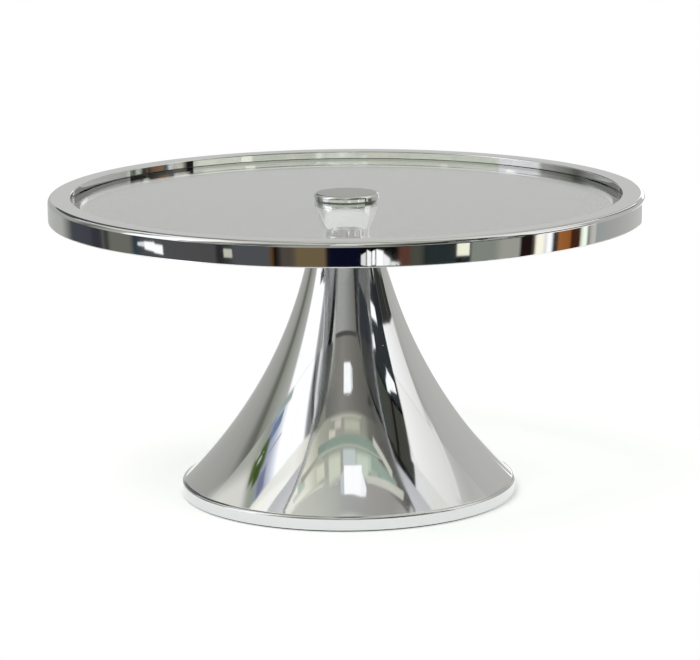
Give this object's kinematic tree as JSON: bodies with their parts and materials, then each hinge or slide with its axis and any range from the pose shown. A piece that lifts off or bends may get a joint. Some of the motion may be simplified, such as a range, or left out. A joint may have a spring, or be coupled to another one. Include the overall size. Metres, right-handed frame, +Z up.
{
  "type": "cake stand",
  "caption": "Round clear glass tray with a flat chromed rim, clamped on a trumpet-shaped chromed pedestal by a flat screw cap; carries a cake on a table.",
  "frame": {"origin": "centre of the foot's underside, on the table", "axes": "+Z up along the stand's own axis; +X and +Y level, with the front towards -Y"},
  "size_m": [0.3, 0.3, 0.1544],
  "materials": {
    "chromed_steel": "mirror bright chromium plating on formed metal",
    "pressed_steel": "dull zinc plating on pressed sheet",
    "plated_screw_steel": "bright zinc plating on screw steel",
    "foam_rubber": "matt black closed-cell rubber",
    "clear_vinyl": "soft translucent vinyl",
    "white_nylon": "moulded natural nylon",
    "clear_silicone": "smooth clear silicone bead",
    "clear_glass": "polished float glass, green at the edge"
  },
  "bodies": {
    "pedestal": {"bell": "chromed_steel", "base_plate": "pressed_steel", "foot_ring": "foam_rubber", "tie_rod": "plated_screw_steel", "bottom_nut": "plated_screw_steel", "lock_washer": "plated_screw_steel", "flat_washer": "plated_screw_steel", "cup": "chromed_steel", "lower_gasket": "clear_vinyl"},
    "tray": {"glass_plate": "clear_glass", "rim": "chromed_steel", "edge_seal": "clear_silicone", "hole_bush": "white_nylon"},
    "gasket": {"cap_gasket": "clear_vinyl"},
    "cap": {"cap_disc": "chromed_steel", "cap_stud": "plated_screw_steel"}
  },
  "joints": [
    {"name": "tray_lift", "type": "slide", "parent": "pedestal", "child": "tray", "axis": [0, 0, 1], "range_m": [0, 0.05]},
    {"name": "cap_lift", "type": "slide", "parent": "tray", "child": "gasket", "axis": [0, 0, 1], "range_m": [0, 0.006]},
    {"name": "cap_turn", "type": "hinge", "parent": "gasket", "child": "cap", "pos_m": [0, 0, 0.15], "axis": [0, 0, 1], "range_deg": [0, 2160]}
  ],
  "couplings": [
    {"joint": "cap_lift", "follows": "cap_turn", "m_per_rad": 0.00015915}
  ]
}
